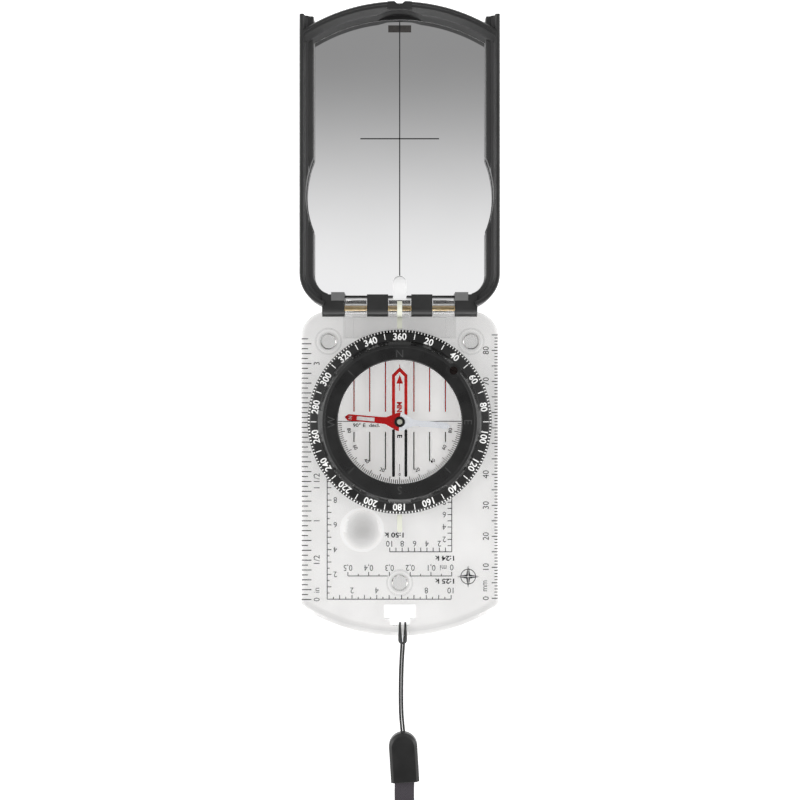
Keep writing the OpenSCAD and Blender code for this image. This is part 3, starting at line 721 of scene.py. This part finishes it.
def make_loop():
    points = LOOP_HALF + [LOOP_MIDDLE] + [far_side(p) for p in LOOP_HALF[::-1]]
    route = [Vector(p) for p in smooth_route(points, 6)]
    across = Vector((1, 0, 0))
    frames = []
    for i in range(len(route)):
        along = (route[min(i + 1, len(route) - 1)] - route[max(i - 1, 0)]).normalized()
        across = (across - along * across.dot(along)).normalized()
        frames.append((across.copy(), along.cross(across)))
    turns = [2 * math.pi * k / 12 for k in range(12)]
    section = [(math.cos(t) * LOOP_D / 2, math.sin(t) * LOOP_D / 2) for t in turns]
    softened("cord_connector", "lanyard_connector", "base", "connector", 0.15, over=20)
    loop = swept("loop_cord", route, frames, section, "base", "cord", ("lanyard_loop",))


STRAP_W = 6.4
STRAP_T = 0.9
LEAD_GAP = 0.5               # from the middle line to each layer, where both leave the connector
PARTS_FROM = 20.0            # how far along the lead the layers start to part
PARTS_OVER = 45.0            # and the length over which they do
LEAD = [
    (1.6, -116.2, 1.3, 0), (1.5, -119, 1.3, 0), (1.5, -122, 1.3, 0), (1.6, -125, 1.6, 8),
    (2, -128.5, 2.4, 24), (2.8, -132, 3, 42), (4.2, -136, 3.4, 60), (6.2, -140, 3.6, 76),
    (8.8, -144.2, 3.7, 86), (11.4, -148.2, 3.7, 90), (13.8, -152.4, 3.7, 90),
    (15.6, -156.4, 3.7, 90),
]
HANK_ENDS = (-160, -230)     # centres of the hank's round ends
LAYER_GAP = 2.3              # between one layer of strap and the next, inside the hank
HANK_R = 16.3                # of the strap's two layers together, on their first lap
FOLD_R = 8.25                # of the turn in the middle of the strap
FOLD_AT = (-0.9, -166)
FOLD_OPENS = 40              # length over which the two layers part before the turn
RUN_SHARE = 0.32             # of a lap's inward step that falls on one straight run
END_SHARE = 0.18             # and on one round end


def eased(u):
    """0 to 1 with a level start and end."""
    u = max(0, min(1, u))
    return u * u * (3 - 2 * u)


def hank_laps():
    """The middle line of the two layers: down the right, up the left, down and up again inside."""
    lap_step = 2 * LAYER_GAP
    points = []
    run_points, end_points = 8, 12
    laps = 0.0
    for half in range(3):
        sign = 1 if half % 2 == 0 else -1
        first, last = HANK_ENDS if sign > 0 else HANK_ENDS[::-1]
        for k in range(run_points):
            points.append((sign * (HANK_R - lap_step * laps), first + (last - first) * k / run_points))
            laps += RUN_SHARE / run_points
        for k in range(end_points):
            t = math.pi * k / end_points
            r = HANK_R - lap_step * laps
            points.append((sign * r * math.cos(t), last - sign * r * math.sin(t)))
            laps += END_SHARE / end_points
    x, y = lap_step * laps - HANK_R, HANK_ENDS[1]
    steps = 30
    for k in range(steps + 1):
        up = y + (FOLD_AT[1] - y) * k / steps
        points.append((x + (FOLD_AT[0] - x) * eased(1 - (FOLD_AT[1] - up) / FOLD_OPENS), up))
    return points


def make_strap():
    """Two layers of webbing side by side, which part and turn back in the middle of the strap."""
    middle = LEAD + [(x, y, 3.7, 90) for x, y in hank_laps()]
    middle = smooth_route(evened(middle, 2.5), 2)
    places = [Vector(p[:3]) for p in middle]
    count = len(places)
    layers, widths = ([], []), []
    gone = [0.0]
    for a, b in zip(places, places[1:]):
        gone.append(gone[-1] + (b - a).length)
    for i, p in enumerate(places):
        along = (places[min(i + 1, count - 1)] - places[max(i - 1, 0)]).normalized()
        side = along.cross(Vector((0, 0, 1))).normalized()
        up = side.cross(along)
        a = math.radians(middle[i][3])
        width = math.cos(a) * side + math.sin(a) * up
        through = math.cos(a) * up - math.sin(a) * side
        apart = min(1, max(0, gone[i] - PARTS_FROM) / PARTS_OVER)
        gap = LEAD_GAP + (LAYER_GAP / 2 - LEAD_GAP) * apart
        gap += (FOLD_R - gap) * eased(1 - (gone[-1] - gone[i]) / FOLD_OPENS)
        layers[0].append(p + through * gap)
        layers[1].append(p - through * gap)
        widths.append((width, through))
    turn = []
    turn_frames = []
    end = places[-1]
    along = (places[-1] - places[-2]).normalized()
    out = widths[-1][1]
    for k in range(1, 12):
        t = math.pi * k / 12
        direction = out * math.cos(t) + along * math.sin(t)
        turn.append(end + direction * FOLD_R)
        turn_frames.append((widths[-1][0], direction))
    route = layers[0] + turn + layers[1][::-1]
    frames = widths + turn_frames + [(w, -n) for w, n in widths[::-1]]
    half_w, half_t = STRAP_W / 2, STRAP_T / 2
    section = [
        (-half_w, 0), (-half_w + 0.12, -half_t), (-half_w + 0.8, -half_t * 0.85), (0, -half_t * 0.8),
        (half_w - 0.8, -half_t * 0.85), (half_w - 0.12, -half_t), (half_w, 0), (half_w - 0.12, half_t),
        (half_w - 0.8, half_t * 0.85), (0, half_t * 0.8), (-half_w + 0.8, half_t * 0.85),
        (-half_w + 0.12, half_t),
    ]
    strap = swept("neck_strap", route, frames, section, "base", "strap",
                  ("strap_lead", "strap_hank"))


# ---------------------------------------------------------------- the compass
BAND_R = 28.5                # where the dial's numeral band meets its tick chamfer
BAND_TOP = 7.6               # height there
BAND_SLOPE = 1 / 6
CHAMFER_SLOPE = 1 / 1.1
NUMBER_R = 27.32
NUMBER_H = 2.08
LETTER_R = 21.75
LETTER_H = 2.5
SCREW_BEARING = 45           # the raised tick that the declination screw takes the place of


def dial_surface(x, y):
    """Height of the dial's numeral band and tick chamfer."""
    past = math.hypot(x, y) - BAND_R
    return BAND_TOP - past * (CHAMFER_SLOPE if past > 0 else BAND_SLOPE)


def grip_surface(x, y):
    """Height of the ring inside the grip pads, sunk a little so that the letters join it."""
    return 10.84 + (math.hypot(x, y) - 20) / 3.5 * 0.2 - 0.02


def on_dial(bearing, r):
    """The point at a compass bearing in degrees and a radius."""
    a = math.radians(bearing)
    return r * math.sin(a), r * math.cos(a)


def make_dial():
    softened("dial_grip", "dial_ring", "dial", "dial", 0.12, over=24)
    ticks = Marks(dial_surface)
    for bearing in range(0, 360, 2):
        ticks.radial(bearing, 28.85, 29.5, 0.28)
    for bearing in range(10, 360, 20):
        ticks.radial(bearing, 26.7, BAND_R, 0.26)
    ticks.done("dial_ticks", "dial", "white_ink", "dial_plastic")
    numbers = Marks(dial_surface)
    for bearing in range(0, 360, 20):
        at = on_dial(bearing, NUMBER_R)
        numbers.text(str(bearing or 360), at, NUMBER_H, -bearing, bold=0.018, squeeze=0.98)
    numbers.done("dial_numbers", "dial", "white_ink", "dial_plastic")
    # The raised letters and ticks take a lighter grey: a painted highlight on relief of the dial's own
    # plastic.
    raised = Marks(grip_surface, 0.14)
    for bearing, letter in ((0, "N"), (90, "E"), (180, "S"), (270, "W")):
        raised.text(letter, on_dial(bearing, LETTER_R), LETTER_H, -bearing, bold=-0.01)
    for bearing in range(45, 360, 90):
        if bearing != SCREW_BEARING:
            raised.radial(bearing, 20.5, 23.2, 0.22)
    raised.done("dial_letters", "dial", "letter", "dial_plastic")
    paint("dial_retainer", "dial")
    paint("declination_screw", "screw")


FLOOR_TOP = 2.0
CUP_FLOOR = 3.1
FLOOR_R = 20.6               # reach of the printing on the dial's floor
MERIDIANS = ((4.6, -15.5), (9.7, -12.9), (14.8, -6.6))       # x, and the low end of the line
DEGREES_R = 16.6


def make_capsule():
    paint("dial_floor", "capsule")
    paint("capsule_cup", "capsule")
    paint("capsule_top", "window")
    paint("capsule_seal", "black_rubber")
    paint("pivot_pin", "steel")
    red, black = Marks(FLOOR_TOP), Marks(FLOOR_TOP)
    for x, low in MERIDIANS:
        for side in (-1, 1):
            red.line((side * x, 3.2), (side * x, math.sqrt(FLOOR_R ** 2 - x * x)), 0.4)
            black.line((side * x, low), (side * x, -3.3), 0.38)
    black.line((-FLOOR_R, 0.1), (FLOOR_R, 0.1), 0.25)
    for bearing in range(92, 270, 2):
        black.radial(bearing, 18.0 if bearing % 10 == 0 else 18.8, 20.4, 0.25)
    for degrees in (20, 40, 60, 80):
        for side in (-1, 1):
            at = on_dial(180 + side * degrees, DEGREES_R)
            black.text(str(degrees), at, 1.15, -side * degrees, bold=0.02)
    black.text("0", (0, -17.1), 1.0, bold=0.02)
    black.line((0, -13.6), (0, -16.2), 0.18)
    black.text("90° E  decl.", (-10.8, -1.15), 1.15, bold=0.02, squeeze=1.15)
    black.text("decl.  W 90°", (10.8, -1.15), 1.15, bold=0.02, squeeze=1.15)
    red.done("meridians_red", "dial", "red_ink", "clear_plastic")
    black.done("meridians_black", "dial", "black_ink", "clear_plastic")
    arrow, south = Marks(CUP_FLOOR), Marks(CUP_FLOOR)
    for side in (-1, 1):
        bar = [(1.5, 2.2), (2.5, 2.2), (2.5, 15.1), (0, 17.6), (0, 16.1), (1.5, 14.6)]
        arrow.shape([(side * x, y) for x, y in (bar if side > 0 else bar[::-1])])
        south.line((side * 2.0, -2.9), (side * 2.0, -17.4), 0.95, round_ends=True)
    arrow.line((0, 17.4), (0, 18.5), 0.22)
    arrow.shape([(-1.1, 12.3), (1.1, 12.3), (0, 15.2)])
    arrow.line((0, 10.0), (0, 12.4), 0.24)
    arrow.text("MN", (-0.1, 4.75), 1.5, -90, bold=0.05)
    south.text("E", (0, -4.7), 1.5, -90, bold=0.04)
    arrow.done("orienting_arrow", "capsule", "red_ink", "capsule_plastic")
    south.done("orienting_lines", "capsule", "black_ink", "capsule_plastic")


NEEDLE_TOP = 7.2
NEEDLE_HEADING = 175
CAP_PROFILE = [              # the ring on the pivot, with a lip over the edge of its bright dot
    (1.2, 7.2), (1.7, 7.2), (1.7, 7.5), (1.5, 7.7), (0.95, 7.7), (0.88, 7.62), (0.88, 7.57), (1.2, 7.57),
]


def make_needle():
    paint("needle_magnet", "steel")
    paint("needle_jewel", "jewel")
    softened("north_arm", "needle_north", "needle", "red", 0.06)
    softened("south_arm", "needle_south", "needle", "white", 0.06)
    cap = bmesh.new()
    lathe(cap, (0, 0), CAP_PROFILE + CAP_PROFILE[:1])
    bmesh.ops.remove_doubles(cap, verts=cap.verts, dist=0.001 * MM)
    bmesh.ops.recalc_face_normals(cap, faces=cap.faces)
    piece("pivot_cap", cap, "needle", "dial", ("needle_cap_ring",))
    paint("needle_cap_dot", "luminous")
    along = Matrix.Rotation(math.radians(NEEDLE_HEADING), 2)
    inlay = Marks(NEEDLE_TOP)
    inlay.shape([along @ Vector(p) for p in ((8.1, -0.6), (13.8, -0.6), (13.8, 0.6), (8.1, 0.6))])
    inlay.text("N", along @ Vector((15.9, 0)), 1.1, NEEDLE_HEADING - 90, bold=0.01)
    inlay.done("needle_inlay", "needle", "white_ink", "white_plastic")


FOOT_R = 2.6
FOOT_TOP = 1.7
FOOT_GAP = 0.02              # to the pocket that holds the foot
TURNED = 48                  # sides of a turned piece


def make_feet():
    """Soft clear pads with a moulded dimple, a hair smaller than their pockets."""
    bm = bmesh.new()
    outer, top = FOOT_R - FOOT_GAP, FOOT_TOP - FOOT_GAP
    profile = [
        (0, 0.15), (1.2, 0.1), (1.9, 0), (FOOT_R - 0.35, 0), (outer, 0.35), (outer, top), (0, top),
    ]
    for centre in FEET:
        lathe(bm, centre, profile)
    piece("clear_feet", bm, "base", "feet", ("rubber_feet",))


def lathe(bm, centre, profile, steps=TURNED):
    """A turned shape: the profile gives (radius, z), and closes on the axis or on itself."""
    rings = []
    for r, z in profile:
        if r == 0:
            rings.append([bm.verts.new(Vector((*centre, z)) * MM)] * steps)
            continue
        turns = (2 * math.pi * k / steps for k in range(steps))
        rings.append([
            bm.verts.new(Vector((centre[0] + r * math.cos(t), centre[1] + r * math.sin(t), z)) * MM)
            for t in turns
        ])
    for low, high in zip(rings, rings[1:]):
        for k in range(steps):
            j = (k + 1) % steps
            corners = list(dict.fromkeys((low[k], low[j], high[j], high[k])))
            bm.faces.new(corners)
    bmesh.ops.recalc_face_normals(bm, faces=bm.faces)


RULER_ZERO = -57.0
RULER_X = 31.6               # of both rulers' outer ends
RULER_NUMBERS_X = 27.8
INCH_ZERO = -57.4
INCH = 25.4
INCH_NUMBERS_X = -26.8
DIAL_R = 29.6
UNDER_DIAL = 12              # the millimetre ruler's numbers stay this far from the dial's axis
RULE_W = 0.26
LONG_TICK, SHORT_TICK = 1.35, 0.75


def make_plate():
    softened("plate_clear", "base_plate", "base", "plate", 0.12, over=30)
    make_feet()
    paint("index_strip_front", "luminous")
    paint("index_strip_rear", "luminous")
    black = Marks(PLATE_TOP)
    for k in range(86):
        reach = 1.9 if k % 5 == 0 else 1.0
        black.line((RULER_X - reach, RULER_ZERO + k), (RULER_X, RULER_ZERO + k), 0.3)
    for k in range(9):
        y = RULER_ZERO + 10 * k
        if abs(y) > UNDER_DIAL:
            black.text(str(10 * k), (RULER_NUMBERS_X, y), 1.9, 90, squeeze=0.98)
    black.text("mm", (RULER_NUMBERS_X - 0.2, RULER_ZERO + 4.0), 1.85, 90, squeeze=0.9)
    for k in range(54):
        y = INCH_ZERO + INCH * k / 16
        reach = 3.1 if k % 2 == 0 else 2.0
        black.line((-RULER_X, y), (-RULER_X + reach, y), 0.3)
    for words, inches in (("0", 0), ("1/2", 0.5), ("1", 1), ("1 1/2", 1.5), ("3", 3)):
        black.text(words, (INCH_NUMBERS_X, INCH_ZERO + INCH * inches), 1.9, 90, squeeze=0.95)
    black.text("in", (INCH_NUMBERS_X, INCH_ZERO + 3.0), 1.85, 90, squeeze=0.95)
    scale_corner(black, (-23.4, -57.3), 1, 4.0, 10, 10, 0.5, 1.9)
    scale_corner(black, (16.8, -42.0), -1, 2.0, 10, 13, 1, 1.7)
    mile_scale(black)
    for words, at in (("1:50 k", (-1.5, -36.6)), ("1:24 k", (14.8, -44.1)), ("1:25 k", (14.8, -51.5))):
        black.text(words, at, 1.5, 180, bold=0.03, squeeze=1.2)
    rose(black, (22.1, -50.0))
    black.done("plate_scales", "base", "black_ink", "clear_plastic")


def scale_corner(marks, corner, right, unit, across, up, step, inset):
    """Two scales that share a zero corner. They run across (right is 1, or -1 for left) and up to the
    dial's edge, with a tick at each step of a unit and a number at each second unit."""
    x0, y0 = corner
    dial_edge = -math.sqrt(DIAL_R ** 2 - x0 * x0)
    marks.line((x0, y0), (x0 + right * unit * across, y0), RULE_W)
    marks.line((x0, y0), (x0, min(y0 + unit * up, dial_edge)), RULE_W)
    for k in range(1, int(max(across, up) / step) + 1):
        d = k * step * unit
        tick = LONG_TICK if k * step == int(k * step) else SHORT_TICK
        if k * step <= across:
            marks.line((x0 + right * d, y0), (x0 + right * d, y0 + tick), RULE_W)
        if k * step <= up and y0 + d < dial_edge:
            marks.line((x0, y0 + d), (x0 + right * tick, y0 + d), RULE_W)
    for n in range(2, across + 1, 2):
        at = (x0 + right * n * unit, y0 + inset + 0.9)
        if math.dist(at, FEET[2]) > FOOT_R:
            marks.text(str(n), at, 1.85, 180, squeeze=0.95)
    for n in range(2, up + 1, 2):
        if y0 + n * unit + 1 < dial_edge:
            marks.text(str(n), (x0 + right * (inset + 0.7), y0 + n * unit), 1.8, 180, squeeze=0.95)


def mile_scale(marks):
    """Half a mile on a 1:24 000 map, in tenths from the right, broken where a foot lies."""
    y, right = -49.8, 16.8
    tenth = 6.706
    marks.line((right - 5 * tenth, y), (-3.9, y), RULE_W)
    marks.line((3.3, y), (right, y), RULE_W)
    for k in range(11):
        x = right - tenth * k / 2
        tick = 1.3 if k % 2 == 0 else 0.65
        if abs(x) > 1:
            marks.line((x, y), (x, y + tick), RULE_W)
    for k in range(6):
        words = "0" if k == 0 else f"0,{k}"
        marks.text(words, (right - tenth * k, y + 2.75), 1.9, 180, squeeze=0.9)
    marks.text("mi", (right - 2.75, y + 2.7), 1.8, 180, squeeze=0.9)


def rose(marks, centre):
    """A plain four-pointed compass star in a ring."""
    marks.ring(centre, 2.25, 2.5, 40)
    for k in range(4):
        spin = Matrix.Rotation(math.pi / 2 * k, 2)
        points = [spin @ Vector(p) for p in ((0.08, 0.1), (0.62, 0.62), (0.08, 3.6))]
        marks.shape([(centre[0] + p.x, centre[1] + p.y) for p in points])
        points = [spin @ Vector(p) for p in ((-0.08, 0.1), (-0.08, 3.6), (-0.62, 0.62))]
        marks.shape([(centre[0] + p.x, centre[1] + p.y) for p in points])


GLASS_TOP = 4.2
CLIP_X = (17.5, 21.9)        # where the middles of the two clips' top faces lie
CLIP_Y = (39.5, 41.4)


def make_lid():
    shell = softened("lid_shell", "lid_frame", "lid", "lid", 0.15, over=28)
    shell.data.materials.append(LOOKS["clip"].material)
    for face in shell.data.polygons:
        x, y, z = face.center / MM
        on_clip = CLIP_X[0] < abs(x) < CLIP_X[1] and CLIP_Y[0] < y < CLIP_Y[1]
        if on_clip and z > GLASS_TOP:
            face.material_index = 1
    # The mirror's rounded rim takes the ground_edge look, which carries a painted glow.
    softened("mirror_plate", "mirror_glass", "lid", "mirror", 0.5, over=60, edge="ground_edge")
    paint("mirror_pad", "black_rubber")
    paint("hinge_pin", "brass")
    sight = Marks(GLASS_TOP, 0.02)
    sight.line((0, 47.1), (0, 129.0), 0.35)
    sight.line((-12.7, 91.3), (12.7, 91.3), 0.38)
    sight.done("sight_lines", "lid", "black_ink", "mirror")
    # Painted reflection: a dark rectangle on the mirror where the sighting block on the far rim is reflected.
    block_reflection = Marks(GLASS_TOP, 0.015)
    block_reflection.shape([(-3.7, 125.6), (3.7, 125.6), (3.7, 127.9), (-3.7, 127.9)])
    block_reflection.done("painted_block_reflection", "lid", "painted_block_reflection", "mirror")


def make_lanyard():
    make_loop()
    make_strap()
    paint("hank_tie", "tie")


make_camera()
make_world()
soft_box("left_box", (-1.0, 0.1, 0.55), (0.6, 1.2), 7.0)
soft_box("right_box", (1.0, 0.1, 0.55), (0.6, 1.2), 6.0)
soft_box("near_box", (0.0, -1.3, 0.4), (1.6, 0.45), 10.0)
make_floor()
make_lanyard()
make_plate()
make_dial()
make_capsule()
make_needle()
make_lid()
SCENE.view_settings.view_transform = "Standard"
